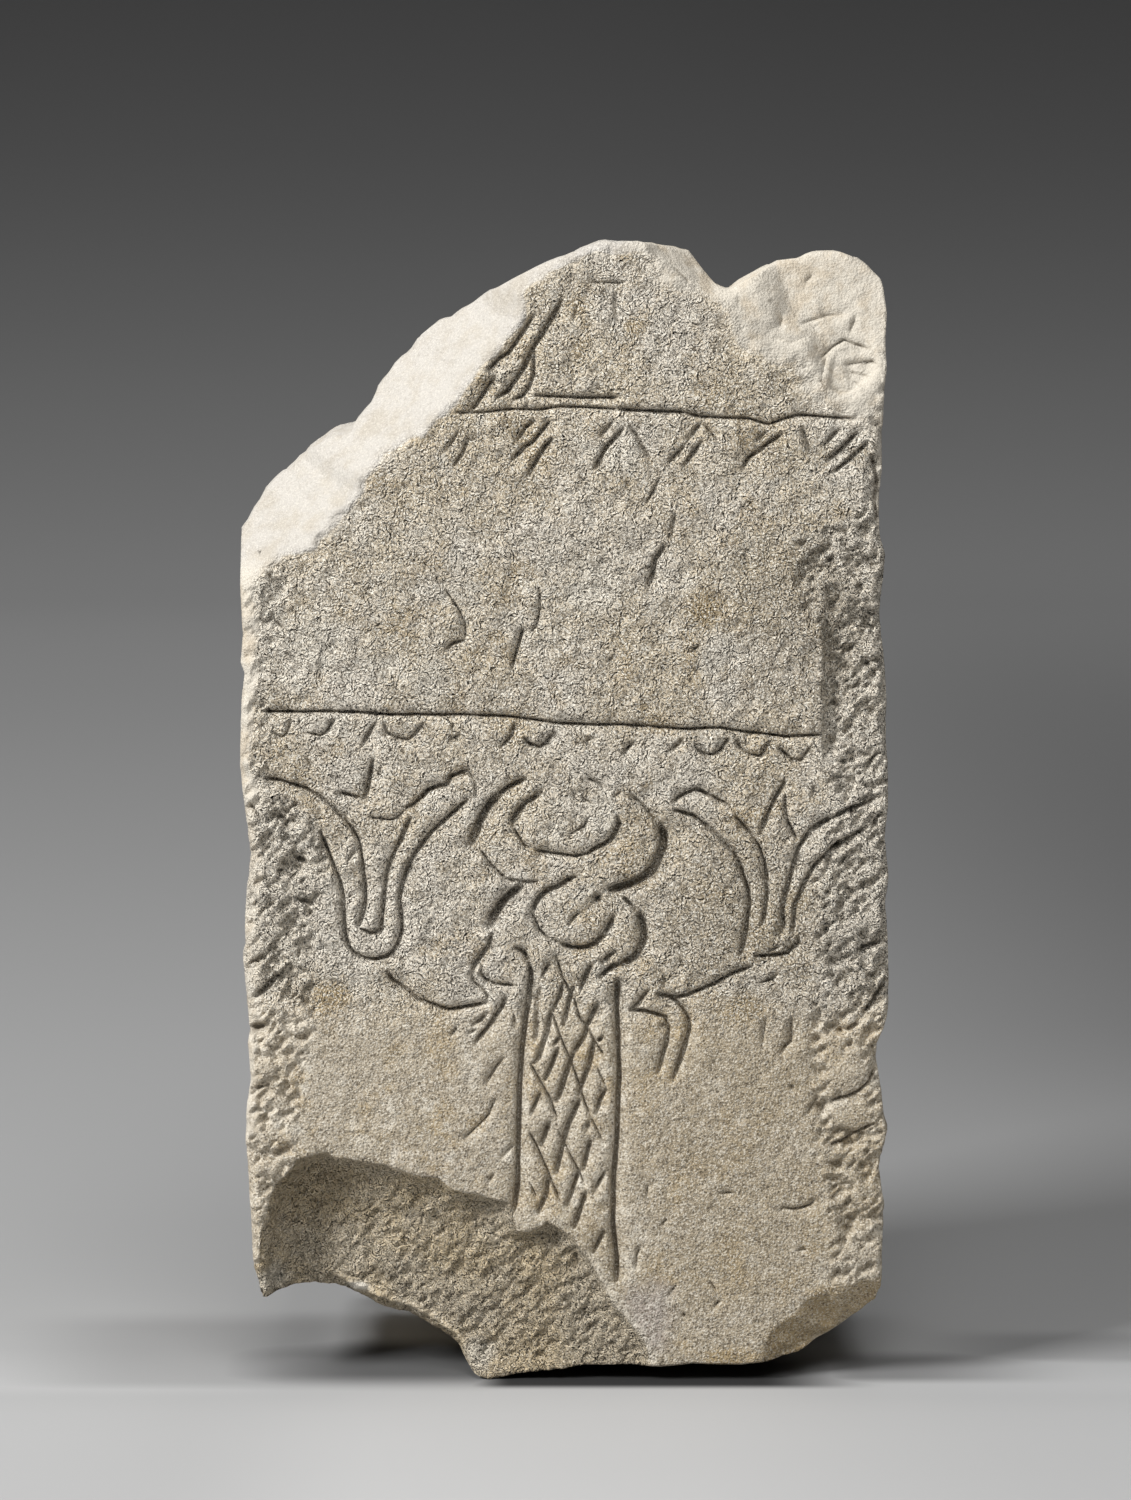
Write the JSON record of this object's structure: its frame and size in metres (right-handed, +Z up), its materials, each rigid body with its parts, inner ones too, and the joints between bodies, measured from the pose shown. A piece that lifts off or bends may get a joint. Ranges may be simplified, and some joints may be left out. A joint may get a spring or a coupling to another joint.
{
  "type": "votive stele",
  "caption": "Free-standing slab of limestone with a broken gable top, shallow carved flowers, crescents and a latticed column, rough sides and a broken lower corner.",
  "frame": {"origin": "middle of the bounding box in the plane that the slab stands on", "axes": "+Z up along the slab's height, -Y out of the carved face, +X to the right as the face is seen"},
  "size_m": [0.166, 0.07, 0.2939],
  "materials": {
    "limestone": "weathered grey-beige limestone, matt and finely pitted, with cream fresh breaks"
  },
  "bodies": {
    "root": {"stele_block": "limestone"}
  },
  "joints": []
}
